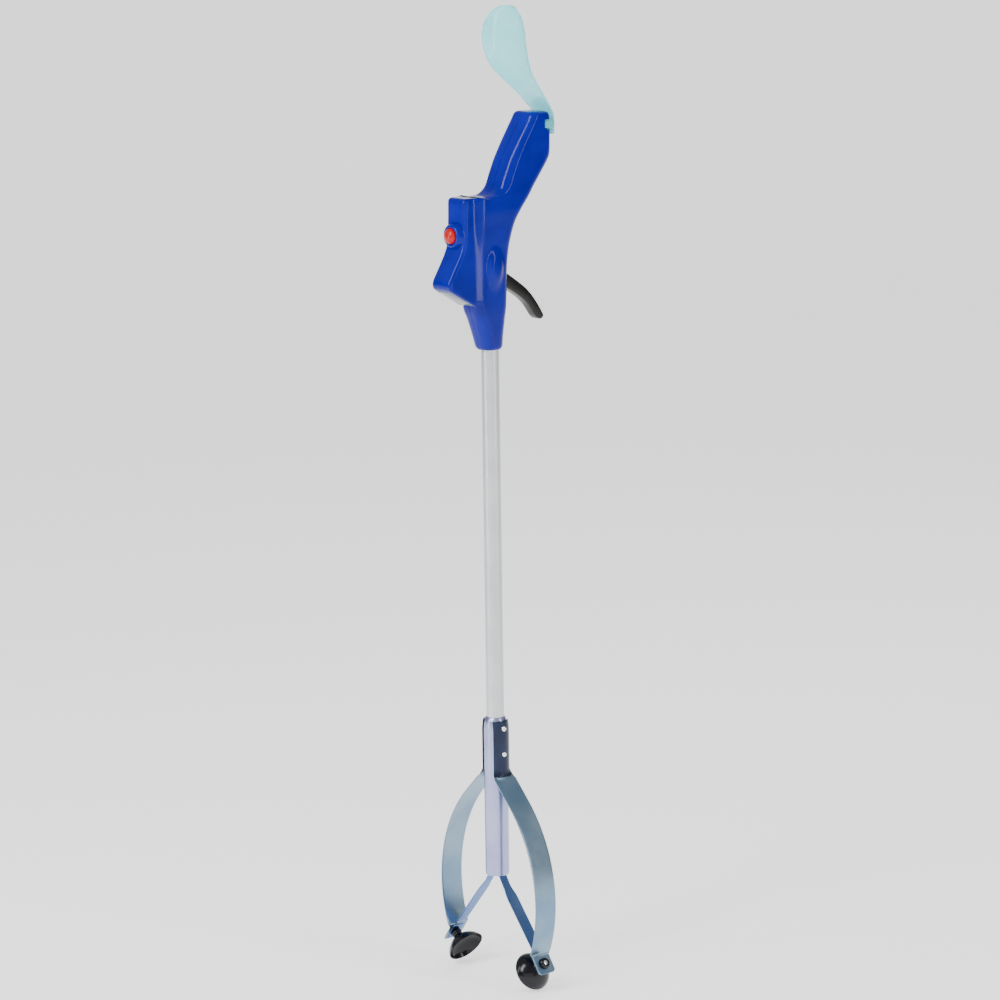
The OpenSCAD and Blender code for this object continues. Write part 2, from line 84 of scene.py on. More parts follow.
def towards(azimuth, elevation):
    """Unit vector from the object to a viewer at those angles."""
    return Vector((sin(azimuth) * cos(elevation), -cos(azimuth) * cos(elevation), sin(elevation)))


def make_camera():
    camera = bpy.data.objects.new("camera", bpy.data.cameras.new("camera"))
    bpy.context.scene.collection.objects.link(camera)
    camera.data.lens = VIEW_LENS
    camera.data.sensor_width = 36
    camera.data.clip_end = 50
    direction = towards(VIEW_AZIMUTH, VIEW_ELEVATION)
    turn = direction.to_track_quat("Z", "Y").to_matrix() @ Matrix.Rotation(VIEW_ROLL, 3, "Z")
    place = Matrix.Translation(VIEW_TARGET + direction * VIEW_DISTANCE)
    camera.matrix_world = place @ turn.to_4x4()
    bpy.context.scene.camera = camera


def make_area(name, azimuth, elevation, distance, size, power, colour=(1, 1, 1)):
    lamp = bpy.data.objects.new(name, bpy.data.lights.new(name, "AREA"))
    lamp.data.shape = "RECTANGLE"
    lamp.data.size, lamp.data.size_y = size
    lamp.data.energy = power
    lamp.data.color = colour
    direction = towards(radians(azimuth), radians(elevation))
    turn = direction.to_track_quat("Z", "Y").to_matrix().to_4x4()
    lamp.matrix_world = Matrix.Translation(LAMP_TARGET + direction * distance) @ turn
    bpy.context.scene.collection.objects.link(lamp)


def make_stage():
    """A pale floor that curves up to a wall, darker to the sides so that metal shows its shape."""
    low = cad_box[0][2] - STAGE_DROP
    mesh = bpy.data.meshes.new("floor")
    verts = [(0, 0, low)]
    for i in range(STAGE_RINGS):
        t = pi / 2 * i / (STAGE_RINGS - 1)
        radius, height = STAGE_FLAT + STAGE_BEND * sin(t), low + STAGE_BEND * (1 - cos(t))
        for j in range(STAGE_STEPS):
            a = 2 * pi * j / STAGE_STEPS
            verts.append((radius * cos(a), radius * sin(a), height))
    faces = [(0, 1 + j, 1 + (j + 1) % STAGE_STEPS) for j in range(STAGE_STEPS)]
    for i in range(STAGE_RINGS - 1):
        for j in range(STAGE_STEPS):
            a = 1 + i * STAGE_STEPS + j
            b = 1 + i * STAGE_STEPS + (j + 1) % STAGE_STEPS
            faces.append((a, a + STAGE_STEPS, b + STAGE_STEPS, b))
    mesh.from_pydata(verts, [], faces)
    for face in mesh.polygons:
        face.use_smooth = True
    floor = bpy.data.objects.new("floor", mesh)
    bpy.context.scene.collection.objects.link(floor)
    material = bpy.data.materials.new("floor_paint")
    material.use_nodes = True
    shader = material.node_tree.nodes["Principled BSDF"]
    tree = material.node_tree
    place = tree.nodes.new("ShaderNodeTexCoord")
    across = tree.nodes.new("ShaderNodeVectorMath")
    across.operation = "DOT_PRODUCT"
    across.inputs[1].default_value = (cos(VIEW_AZIMUTH), sin(VIEW_AZIMUTH), 0)
    tree.links.new(place.outputs["Object"], across.inputs[0])
    distance = tree.nodes.new("ShaderNodeMath")
    distance.operation = "ABSOLUTE"
    tree.links.new(across.outputs["Value"], distance.inputs[0])
    shade = spread(tree, distance.outputs[0], PALE, DARK, SHADE_START, SHADE_STOP)
    tree.links.new(shade, shader.inputs["Base Color"])
    tree.links.new(shade, shader.inputs["Emission Color"])
    shader.inputs["Emission Strength"].default_value = 1.0
    shader.inputs["Roughness"].default_value = 0.9
    shader.inputs["Specular IOR Level"].default_value = 0.1
    mesh.materials.append(material)


def make_world():
    world = bpy.data.worlds.new("studio")
    world.use_nodes = True
    world.node_tree.nodes["Background"].inputs["Color"].default_value = (0.96, 0.98, 1.0, 1)
    world.node_tree.nodes["Background"].inputs["Strength"].default_value = 0.55
    bpy.context.scene.world = world


# ---------------------------------------------------------------- materials


def noise(tree, scale, detail=4.0, stretch=(1, 1, 1)):
    place = tree.nodes.new("ShaderNodeTexCoord")
    mapping = tree.nodes.new("ShaderNodeMapping")
    mapping.inputs["Scale"].default_value = stretch
    texture = tree.nodes.new("ShaderNodeTexNoise")
    texture.inputs["Scale"].default_value = scale
    texture.inputs["Detail"].default_value = detail
    tree.links.new(place.outputs["Object"], mapping.inputs["Vector"])
    tree.links.new(mapping.outputs["Vector"], texture.inputs["Vector"])
    return texture.outputs["Fac"]


def spread(tree, value, low, high, start=0.3, stop=0.7):
    """A number between low and high that follows value."""
    node = tree.nodes.new("ShaderNodeMapRange")
    node.inputs["From Min"].default_value = start
    node.inputs["From Max"].default_value = stop
    node.inputs["To Min"].default_value = low
    node.inputs["To Max"].default_value = high
    tree.links.new(value, node.inputs["Value"])
    return node.outputs["Result"]


def blend_colours(tree, value, first, second):
    node = tree.nodes.new("ShaderNodeValToRGB")
    node.color_ramp.elements[0].position = 0.3
    node.color_ramp.elements[1].position = 0.7
    node.color_ramp.elements[0].color = (*first, 1)
    node.color_ramp.elements[1].color = (*second, 1)
    tree.links.new(value, node.inputs["Fac"])
    return node.outputs["Color"]


def surface(name, first, second, rough, metallic=0.0, grain=(900, (1, 1, 1)), bump=0.05,
            patches=35, **sockets):
    """A material with slow colour patches, roughness that varies, and a fine grain."""
    material = bpy.data.materials.new(name)
    material.use_nodes = True
    tree = material.node_tree
    shader = tree.nodes["Principled BSDF"]
    slow = noise(tree, patches)
    fine = noise(tree, grain[0], 6.0, grain[1])
    tree.links.new(blend_colours(tree, slow, first, second), shader.inputs["Base Color"])
    mixed = tree.nodes.new("ShaderNodeMath")
    mixed.operation = "MULTIPLY_ADD"
    mixed.inputs[1].default_value = 0.5
    tree.links.new(fine, mixed.inputs[0])
    half = tree.nodes.new("ShaderNodeMath")
    half.operation = "MULTIPLY"
    half.inputs[1].default_value = 0.5
    tree.links.new(slow, half.inputs[0])
    tree.links.new(half.outputs[0], mixed.inputs[2])
    tree.links.new(spread(tree, mixed.outputs[0], rough[0], rough[1]), shader.inputs["Roughness"])
    raised = tree.nodes.new("ShaderNodeBump")
    raised.inputs["Strength"].default_value = bump
    raised.inputs["Distance"].default_value = 0.0003
    tree.links.new(fine, raised.inputs["Height"])
    tree.links.new(raised.outputs["Normal"], shader.inputs["Normal"])
    shader.inputs["Metallic"].default_value = metallic
    for key, value in sockets.items():
        shader.inputs[key.replace("_", " ")].default_value = value
    return material


make_camera()
make_stage()
make_world()
# Name, azimuth, elevation, distance, size, power
make_area("key", 5, 38, 1.9, (0.5, 1.4), 30)
make_area("fill", 108, 18, 2.2, (0.25, 1.8), 14)
make_area("back", 190, 55, 2.2, (0.5, 1.2), 12)
make_area("strip", -20, 8, 1.8, (0.12, 1.8), 9)

# Grain that runs along the tube
DRAWN = (120, (12, 12, 0.25))
# Slot: two colours, roughness from and to, metallic, then the shader's own sockets
MATERIALS = {
    "blue_plastic": surface("blue_plastic", (0.0, 0.002, 0.19), (0.0, 0.004, 0.29), (0.1, 0.2),
                            grain=(1400, (1, 1, 1)), bump=0.03, Specular_IOR_Level=0.2),
    "red_plastic": surface("red_plastic", (0.38, 0.001, 0.001), (0.5, 0.002, 0.001), (0.14, 0.26),
                           bump=0.03, Specular_IOR_Level=0.3),
    "black_plastic": surface("black_plastic", (0.003, 0.003, 0.002), (0.007, 0.0065, 0.004),
                             (0.22, 0.42), grain=(1600, (1, 1, 1)), bump=0.12,
                             Specular_IOR_Level=0.3),
    "white_plastic": surface("white_plastic", (0.7, 0.7, 0.66), (0.82, 0.82, 0.8), (0.4, 0.55)),
    "clear_cyan": surface("clear_cyan", (0.24, 0.88, 0.94), (0.42, 0.97, 1.0), (0.04, 0.12),
                          bump=0.02, Transmission_Weight=0.55, IOR=1.3, Alpha=0.92),
    "clear_lens": surface("clear_lens", (0.12, 0.18, 0.28), (0.2, 0.27, 0.36), (0.05, 0.15),
                          bump=0.02, Transmission_Weight=0.6, IOR=1.3),
    "mirror_metal": surface("mirror_metal", (0.85, 0.85, 0.86), (0.92, 0.92, 0.93), (0.05, 0.12),
                            1.0, bump=0.02),
    "circuit_board": surface("circuit_board", (0.01, 0.13, 0.03), (0.02, 0.2, 0.06), (0.35, 0.5)),
    "cell_jacket": surface("cell_jacket", (0.05, 0.05, 0.06), (0.1, 0.1, 0.11), (0.3, 0.45), 0.3),
    "bright_steel": surface("bright_steel", (0.72, 0.73, 0.75), (0.85, 0.85, 0.86), (0.14, 0.28),
                            1.0, bump=0.04),
    "satin_aluminium": surface("satin_aluminium", (0.56, 0.58, 0.6), (0.66, 0.68, 0.69),
                               (0.34, 0.46), 1.0, grain=DRAWN, bump=0.05),
    "polished_sleeve": surface("polished_sleeve", (0.3, 0.32, 0.54), (0.4, 0.42, 0.64),
                               (0.24, 0.36), 1.0, grain=DRAWN, bump=0.04),
    "spring_steel": surface("spring_steel", (0.15, 0.24, 0.35), (0.27, 0.37, 0.45), (0.3, 0.38),
                            1.0, grain=(90, (14, 1, 1)), bump=0.012, patches=22),
    # Painted reflection: near-black steel for the wrapped, riveted end of each outer strap,
    # standing in for polished steel that reflects dark surroundings
    "painted_dark_reflection": surface("painted_dark_reflection", (0.008, 0.01, 0.03), (0.015, 0.025, 0.06), (0.22, 0.38),
                          0.6, grain=(300, (3, 3, 1)), bump=0.06),
    "pull_strap_steel": surface("pull_strap_steel", (0.05, 0.13, 0.36), (0.13, 0.22, 0.44),
                                (0.2, 0.34), 1.0, grain=(90, (14, 1, 1)), bump=0.04, patches=22),
    "black_rubber": surface("black_rubber", (0.001, 0.001, 0.003), (0.003, 0.003, 0.006),
                            (0.12, 0.26), grain=(700, (1, 1, 1)), bump=0.05,
                            Specular_IOR_Level=0.35),
}

# ---------------------------------------------------------------- mesh helpers


def piece(name, verts, faces, material, smooth=True):
    """A mesh piece from points in millimetres."""
    mesh = bpy.data.meshes.new(name)
    mesh.from_pydata([Vector(v) * MM for v in verts], [], faces)
    bm = bmesh.new()
    bm.from_mesh(mesh)
    bmesh.ops.remove_doubles(bm, verts=bm.verts, dist=1e-6)
    bmesh.ops.recalc_face_normals(bm, faces=bm.faces)
    bm.to_mesh(mesh)
    bm.free()
    obj = bpy.data.objects.new(name, mesh)
    bpy.context.scene.collection.objects.link(obj)
    mesh.materials.append(MATERIALS[material])
    for face in mesh.polygons:
        face.use_smooth = smooth
    return obj


def bake(obj):
    """Applies the object's modifiers to its mesh."""
    bpy.context.view_layer.update()
    graph = bpy.context.evaluated_depsgraph_get()
    mesh = bpy.data.meshes.new_from_object(obj.evaluated_get(graph))
    obj.modifiers.clear()
    obj.data = mesh
    return obj


def bevel(obj, width, segments=3, angle=35):
    modifier = obj.modifiers.new("round", "BEVEL")
    modifier.width = width * MM
    modifier.segments = segments
    modifier.limit_method = "ANGLE"
    modifier.angle_limit = radians(angle)
    modifier.harden_normals = False
    return bake(obj)


def sharpen(obj, angle=40):
    """Smooth shading with edges over the angle kept crisp."""
    bm = bmesh.new()
    bm.from_mesh(obj.data)
    for edge in bm.edges:
        edge.smooth = not (len(edge.link_faces) == 2 and edge.calc_face_angle(0) > radians(angle))
    for face in bm.faces:
        face.smooth = True
    bm.to_mesh(obj.data)
    bm.free()
    return obj


def cut(obj, *tools):
    for tool in tools:
        modifier = obj.modifiers.new("cut", "BOOLEAN")
        modifier.operation = "DIFFERENCE"
        modifier.solver = "EXACT"
        modifier.object = tool
        bake(obj)
        bpy.data.objects.remove(tool)
    return obj


def block(low, high, name="cutter", material="blue_plastic"):
    verts = [
        (x, y, z)
        for x in (low[0], high[0])
        for y in (low[1], high[1])
        for z in (low[2], high[2])
    ]
    faces = [(0, 1, 3, 2), (4, 6, 7, 5), (0, 4, 5, 1), (2, 3, 7, 6), (0, 2, 6, 4), (1, 5, 7, 3)]
    return piece(name, verts, faces, material, False)


def tube_faces(rings, n, closed=True):
    """Faces between rings of n points."""
    return [
        (i * n + j, i * n + (j + 1) % n, (i + 1) * n + (j + 1) % n, (i + 1) * n + j)
        for i in range(rings - 1)
        for j in range(n if closed else n - 1)
    ]


def turned(name, profile, material, place=Matrix.Identity(4), steps=72):
    """A lathe piece: profile is (radius, height) from one end round to the other."""
    verts = []
    for r, h in profile:
        for j in range(steps):
            a = 2 * pi * j / steps
            verts.append(place @ Vector((r * cos(a), r * sin(a), h)))
    faces = tube_faces(len(profile), steps)
    if profile[0] == profile[-1]:
        return sharpen(piece(name, verts, faces, material))
    faces.append(tuple(range(steps)))
    faces.append(tuple(range((len(profile) - 1) * steps, len(profile) * steps)))
    return sharpen(piece(name, verts, faces, material))


def smooth_line(points, steps):
    """Catmull-Rom curve through rows of numbers."""
    rows = [points[0]] + list(points) + [points[-1]]
    line = []
    for i in range(1, len(rows) - 2):
        for k in range(steps):
            t = k / steps
            line.append(tuple(
                0.5 * (2 * b + (c - a) * t + (2 * a - 5 * b + 4 * c - d) * t * t
                       + (3 * b - a - 3 * c + d) * t ** 3)
                for a, b, c, d in zip(*rows[i - 1:i + 3])
            ))
    line.append(tuple(points[-1]))
    return line


def ease(value, low, high):
    t = min(max((value - low) / (high - low), 0), 1)
    return t * t * (3 - 2 * t)


def stand(obj, body, slot, *nodes):
    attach(obj, body)
    if nodes:
        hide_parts(*nodes)
    return obj


# ---------------------------------------------------------------- handle

# Millimetres, one level per row: height, front, back, half width, corner radius
HANDLE = [
    (-68, -11.0, 9.0, 10.0, 9.0), (-66.6, -12.4, 10.0, 11.2, 10.0), (-64, -13.4, 10.3, 11.9, 10.2),
    (-56, -15.5, 10.6, 12.6, 10.4), (-41, -20.0, 12.0, 13.4, 10.0), (-27, -24.0, 12.6, 14.0, 8.5),
    (2, -24.0, 13.3, 14.5, 8.5), (16, -24.0, 14.7, 14.5, 8.5), (30, -24.0, 17.3, 15.0, 8.5),
    (45, -24.0, 22.5, 15.5, 8.5), (56, -24.0, 29.5, 16.0, 8.5), (65.5, -23.6, 37.2, 16.0, 8.5),
    (68.4, -15.0, 39.4, 16.0, 8.5), (70.0, -3.5, 40.6, 16.0, 8.5), (76, 4.6, 45.0, 16.0, 9),
    (88, 10.2, 54.2, 16.0, 9), (98, 14.8, 61.5, 16.0, 9), (104, 18.0, 64.0, 16.0, 9),
    (117, 26.1, 64.3, 16.0, 8.5), (134, 37.5, 63.8, 16.0, 8.0),
]
# The raised oval: middle, half sizes, height, and where its slope starts and ends
PAD_Y, PAD_Z, PAD_HALF_Y, PAD_HALF_Z, PAD_RISE = -4.5, 6, 10.5, 20, 2.9
PAD_CROWN, PAD_EDGE = 0.35, 1.04
SEAM = 0.15
CORNER_STEPS, SIDE_STEPS, HANDLE_STEPS = 15, 20, 10
SHELL_WALL = 1.8
TRIGGER_DOORWAY = ((-7.4, 2, -22), (7.4, 40, 22))
HOOK_SLOT = ((-20, 54, 125), (20, 70, 134.3))
CAP_SLOT = ((-7.2, 56, 126), (7.2, 70, 137))


def half_section(row, side):
    """Points of half a rounded rectangle, from the back seam round the side to the front seam."""
    z, front, back, half, r = row
    middle_x, back_y, front_y = half - r, back - r, front + r
    raw = [(SEAM, back)]
    for k in range(CORNER_STEPS + 1):
        a = pi / 2 * (1 - k / CORNER_STEPS)
        raw.append((middle_x + r * cos(a), back_y + r * sin(a)))
    for k in range(1, SIDE_STEPS):
        raw.append((half, back_y + (front_y - back_y) * k / SIDE_STEPS))
    for k in range(CORNER_STEPS + 1):
        a = -pi / 2 * k / CORNER_STEPS
        raw.append((middle_x + r * cos(a), front_y + r * sin(a)))
    raw.append((SEAM, front))
    points = []
    for x, y in raw:
        rise = hypot((y - PAD_Y) / PAD_HALF_Y, (z - PAD_Z) / PAD_HALF_Z)
        x += PAD_RISE * (1 - ease(rise, PAD_CROWN, PAD_EDGE)) * (x > 0.5 * half)
        points.append((side * x, y, z))
    return points


def handle_shell(side, name, node):
    rows = smooth_line(HANDLE, HANDLE_STEPS)
    rings = [half_section(row, side) for row in rows]
    n = len(rings[0])
    verts = [p for ring in rings for p in ring]
    shell = piece(name, verts, tube_faces(len(rings), n, closed=False), "blue_plastic")
    thick = shell.modifiers.new("wall", "SOLIDIFY")
    thick.thickness = SHELL_WALL * MM
    thick.offset = -1
    thick.use_rim = True
    bake(shell)
    cut(shell, block(*TRIGGER_DOORWAY), block(*HOOK_SLOT))
    sharpen(shell, 30)
    return stand(shell, ROOT, "blue_plastic", node)


handle_shell(1, "handle_right", "handle_shell_right")
handle_shell(-1, "handle_left", "handle_shell_left")


def capped_loft(name, rows, material):
    """A closed piece from rounded rectangles, each: height, front, back, half width, radius."""
    rings = []
    for row in rows:
        right = half_section(row, 1)
        left = half_section(row, -1)
        rings.append(right + left[::-1])
    n = len(rings[0])
    verts = [p for ring in rings for p in ring]
    faces = tube_faces(len(rings), n)
    faces.append(tuple(range(n)))
    faces.append(tuple(range((len(rings) - 1) * n, len(rings) * n)))
    return piece(name, verts, faces, material)


CAP = [
    (134.01, 37.55, 63.8, 15.98, 8.0), (137.5, 39.4, 63.5, 15.8, 8.0),
    (139.6, 40.9, 62.6, 15.0, 7.5), (140.8, 42.8, 60.9, 13.4, 6.5), (141.3, 46.0, 57.5, 10.0, 4.5),
]
cap = capped_loft("handle_cap", smooth_line(CAP, 5), "blue_plastic")
cut(cap, block(*CAP_SLOT))
stand(sharpen(cap, 35), ROOT, "blue_plastic", "end_cap")

# ---------------------------------------------------------------- torch

BOX_HALF = 13
BOX_WALL = 1.7
BUTTON_Z = 37
BOSS_FACE = -44
LENS_MIDDLE, LENS_TILT = (0, -38.5, -18.9), radians(150)

# The handle's rounded front behind the torch: corner radius, where the corner ends, front
NECK_CORNER, NECK_SIDE, NECK_FRONT = 8.5, -15.5, -24.15
NECK_GAP, BLEND_STEP, BLEND_END = 0.1, 0.3, -29.5
# Torch housing levels: height, front, half width, corner radius
LENS_SLOPE = 10
HOUSING_FACE = [
    (-9.6, -54.6, 13, 2.7), (-7.6, -55.7, 13, 3.0), (-5, -56, 13, 3.4), (-1.5, -55.2, 13, 3.8),
    (4, -52.1, 13, 4.2), (12, -47.2, 13, 4.2), (20, -42.4, 13, 3.8), (26, -39.7, 13, 3.6),
    (34, -38.5, 13, 3.6), (45, -37.6, 13, 3.6), (60, -37.5, 13, 4.2), (66.5, -37.4, 13, 4.4),
    (68.6, -36.8, 12.5, 4.4), (69.6, -35.6, 11.7, 4.0), (69.95, -33.6, 10.2, 3.4),
]
# Room inside the housing, back and height
HOUSING_ROOM = [(-23.7, 68), (-35.8, 68), (-35.8, 45), (-38.3, 24), (-52.8, 0), (-54.3, -5),
                (-52, -9), (-23.7, -25.4)]
DOOR_OPENING = ((-9.6, -33.2, 67), (9.6, -24.6, 71))
DOOR = ((-9.4, -33, 68.3), (9.4, -24.8, 69.95))
BUTTON_HOLE = [(8.7, 1.4), (8.7, 9)]
BOSS_PROFILE = [
    (7.2, 6), (7.2, 1.2), (7.5, 0.4), (8.3, 0), (9.3, 0.2), (10.1, 0.9), (10.7, 1.9), (11.1, 3.2),
    (11.5, 4.6), (12.2, 6.1), (12.2, 8.2), (8.9, 8.2), (8.9, 6), (7.2, 6),
]
DOME_R, DOME_BASE, DOME_RISE, DOME_STEPS = 7.0, 0.3, 4.6, 14


def prism(name, outline, half, material):
    """An outline in back/height millimetres, given a thickness across X."""
    n = len(outline)
    verts = [(x, y, z) for x in (-half, half) for y, z in outline]
    faces = [(j, (j + 1) % n, n + (j + 1) % n, n + j) for j in range(n)]
    faces.append(tuple(range(n)))
    faces.append(tuple(range(n, 2 * n)))
    return piece(name, verts, faces, material, False)


def neck_half(z):
    """Half width of the handle behind the torch housing."""
    return 14.5 + 1.5 * ease(z, 14, 58)


def housing_section(row, side):
    """Half a section that hugs the handle's rounded front, then narrows to the box."""
    z, front, half, r = row
    neck = neck_half(z)
    hug = NECK_CORNER + NECK_GAP
    points = [(SEAM, NECK_FRONT)]
    for k in range(9):
        a = pi / 2 * (1 - k / 8)
        points.append((neck - NECK_CORNER + hug * cos(a), NECK_SIDE - hug * sin(a)))
    join = max(BLEND_END, front + r)
    for k in range(11):
        t = k / 10
        narrowing = (neck + BLEND_STEP - half) * ease(t, 0, 1)
        points.append((neck + BLEND_STEP - narrowing, NECK_SIDE + (join - NECK_SIDE) * t))
    for k in range(1, 6):
        points.append((half, join + (front + r - join) * k / 6))
    for k in range(11):
        a = pi / 2 * k / 10
        points.append((half - r + r * cos(a), front + r - r * sin(a)))
    points.append((SEAM, front))
    return [(side * x, y, z) for x, y in points]


def housing_rows():
    """Levels up the lens slope and the front face."""
    rows = []
    for k in range(LENS_SLOPE):
        t = k / LENS_SLOPE
        depth = 0.6 + 29.4 * t
        rows.append((-27.2 + 16.8 * t, -24.2 - depth, BOX_HALF, min(2.6, depth / 2)))
    return rows + smooth_line(HOUSING_FACE, 4)


def housing():
    rings = [housing_section(row, 1) + housing_section(row, -1)[::-1] for row in housing_rows()]
    n = len(rings[0])
    faces = tube_faces(len(rings), n)
    faces += [tuple(range(n)), tuple(range((len(rings) - 1) * n, len(rings) * n))]
    return piece("torch_housing", [p for ring in rings for p in ring], faces, "blue_plastic")


def facing(place, turn):
    """Frame at a place, turned round the X axis."""
    return Matrix.Translation(place) @ Matrix.Rotation(turn, 4, "X")


LENS_FRAME = facing(LENS_MIDDLE, LENS_TILT)
BOSS_FRAME = facing((0, BOSS_FACE, BUTTON_Z), radians(-90))


def plate(name, width, length, low, high, radius, material, place):
    """A flat piece with rounded corners."""
    outline = []
    for q, (sx, sy) in enumerate(((1, 1), (-1, 1), (-1, -1), (1, -1))):
        for k in range(9):
            a = pi / 2 * (q + k / 8)
            outline.append((sx * (width / 2 - radius) + radius * cos(a),
                            sy * (length / 2 - radius) + radius * sin(a)))
    n = len(outline)
    verts = [place @ Vector((x, y, h)) for h in (low, high) for x, y in outline]
    faces = [(j, (j + 1) % n, n + (j + 1) % n, n + j) for j in range(n)]
    faces += [tuple(range(n)), tuple(range(n, 2 * n))]
    return piece(name, verts, faces, material, False)


case = housing()
cut(case, prism("cutter", HOUSING_ROOM, BOX_HALF - BOX_WALL, "blue_plastic"))
cut(case, plate("cutter", 20.6, 28.6, -6, 6, 6, "blue_plastic", LENS_FRAME))
cut(case, plate("cutter", 22.6, 30.6, -1, 6, 6, "blue_plastic", LENS_FRAME))
cut(case, turned("cutter", BUTTON_HOLE, "blue_plastic", BOSS_FRAME))
cut(case, block(*DOOR_OPENING))
stand(sharpen(case, 30), ROOT, "blue_plastic", "torch_case")

door = bevel(block(*DOOR, "battery_cover"), 0.4, 3)
stand(door, ROOT, "blue_plastic", "battery_door")

boss = turned("button_boss", BOSS_PROFILE, "blue_plastic", BOSS_FRAME)
stand(boss, ROOT, "blue_plastic")

angles = [pi / 2 * k / DOME_STEPS for k in range(DOME_STEPS)]
dome = [(DOME_R * cos(a), DOME_BASE - DOME_RISE * sin(a)) for a in angles]
button_profile = [(8.1, 2.4), (8.1, 1.7), (DOME_R, 1.6)] + dome + [(0.2, -4.3)]
button = turned("push_button", button_profile, "red_plastic", BOSS_FRAME)
stand(button, "button", "red_plastic", "torch_button")

lens = bevel(plate("lens", 22.2, 30.2, -1, 0.6, 6, "clear_lens", LENS_FRAME), 0.5, 3)
stand(sharpen(lens), ROOT, "clear_lens", "torch_lens")

# ---------------------------------------------------------------- trigger

# Outline of the lever, back and height: from the fork over the top, round the tip and back
TRIGGER_TOP = [(-6, 5.2), (3, 4.8), (11, 2.2), (20, -3), (30, -9.8), (38, -15.6), (45, -22.2),
               (51, -29.6), (55.5, -36), (58.6, -41.2)]
TRIGGER_BOTTOM = [(53.6, -46), (50.5, -43.4), (46, -37.2), (41, -31), (35, -25.8), (27, -20.4),
                  (18, -15), (8, -9.6), (-2, -7), (-10, -5.6)]
TRIGGER_TIP = (56.1, -43.2, 3.4)
TRIGGER_EYE = (-15.5, 0, 5)
TRIGGER_HALF = 6
FORK_ROOM = ((-3.2, -30, -20), (3.2, 13, 20))
PIN_SLOT = ((-10, -2.6, -2.6), (10, 5.6, 2.6))


def arc(cy, cz, r, start, stop, steps):
    angles = [radians(start + (stop - start) * k / steps) for k in range(steps + 1)]
    return [(cy + r * cos(a), cz + r * sin(a)) for a in angles]


trigger_outline = (
    smooth_line(TRIGGER_TOP, 4)
    + arc(*TRIGGER_TIP, 20, -120, 8)
    + smooth_line(TRIGGER_BOTTOM, 4)
    + arc(*TRIGGER_EYE, 255, 105, 14)
)
trigger = bevel(prism("trigger", trigger_outline, TRIGGER_HALF, "black_plastic"), 2.2, 4, 60)
cut(trigger, block(*FORK_ROOM), block(*PIN_SLOT))
stand(sharpen(trigger, 35), "trigger", "black_plastic", "trigger_lever")

# ---------------------------------------------------------------- shaft

TUBE_R, TUBE_IN, TUBE_TOP = 8.0, 6.8, -16
Z_SLEEVE, Z_MOUTH = -408.0, -558.0
SLEEVE_R, SLEEVE_IN, COLLAR_R = 11.0, 10.0, 8.06
TUBE_END = Z_SLEEVE - 40
EDGE = 0.3
ROUND_STEPS = 96

tube = turned("tube", [
    (TUBE_IN, TUBE_TOP), (TUBE_R - EDGE, TUBE_TOP), (TUBE_R, TUBE_TOP - EDGE), (TUBE_R, -67.9),
    (TUBE_R, -200), (TUBE_R, -330), (TUBE_R, TUBE_END + EDGE), (TUBE_R - EDGE, TUBE_END),
    (TUBE_IN, TUBE_END), (TUBE_IN, TUBE_TOP)], "satin_aluminium", steps=ROUND_STEPS)
stand(tube, ROOT, "satin_aluminium", "main_tube")

sleeve = turned("lower_sleeve", [
    (COLLAR_R, Z_SLEEVE), (8.5, Z_SLEEVE), (9.0, Z_SLEEVE - 0.5), (10.0, Z_SLEEVE - 3),
    (10.6, Z_SLEEVE - 6), (SLEEVE_R, Z_SLEEVE - 12), (SLEEVE_R, Z_SLEEVE - 70),
    (SLEEVE_R, Z_MOUTH + 1), (SLEEVE_R - 0.4, Z_MOUTH), (SLEEVE_IN, Z_MOUTH),
    (SLEEVE_IN, Z_SLEEVE - 12), (9.5, Z_SLEEVE - 8), (COLLAR_R, Z_SLEEVE - 5),
    (COLLAR_R, Z_SLEEVE)], "polished_sleeve", steps=ROUND_STEPS)
stand(sleeve, ROOT, "polished_sleeve", "sleeve")

# ---------------------------------------------------------------- jaws

HINGE_X, HINGE_Z = 11.5, Z_SLEEVE - 56
BOW_ANGLE, BOW_RUN, BOW_R, BOW_END = radians(44), 28.0, 130.0, radians(-21.5)
STRAP_T = 0.9
TAB_LEAN, TAB_L = radians(35), 19.0
OUTER_W, INNER_W = 24.0, 12.0
PULL_END_GAP = 3.4
PULL_NARROW = 8.4
# Height above the hinge from which the strap's wrapped end gets the painted dark reflection
PAINTED_DARK_END = 1
run_x = HINGE_X + BOW_RUN * sin(BOW_ANGLE)
run_z = HINGE_Z - BOW_RUN * cos(BOW_ANGLE)
bow_x = run_x - BOW_R * cos(BOW_ANGLE)
bow_z = run_z - BOW_R * sin(BOW_ANGLE)
FOLD = (bow_x + BOW_R * cos(BOW_END), bow_z + BOW_R * sin(BOW_END))
MOUTH = (6.5, Z_MOUTH - 2)
YOKE_TOP = Z_SLEEVE - 98
COLUMNS = 13


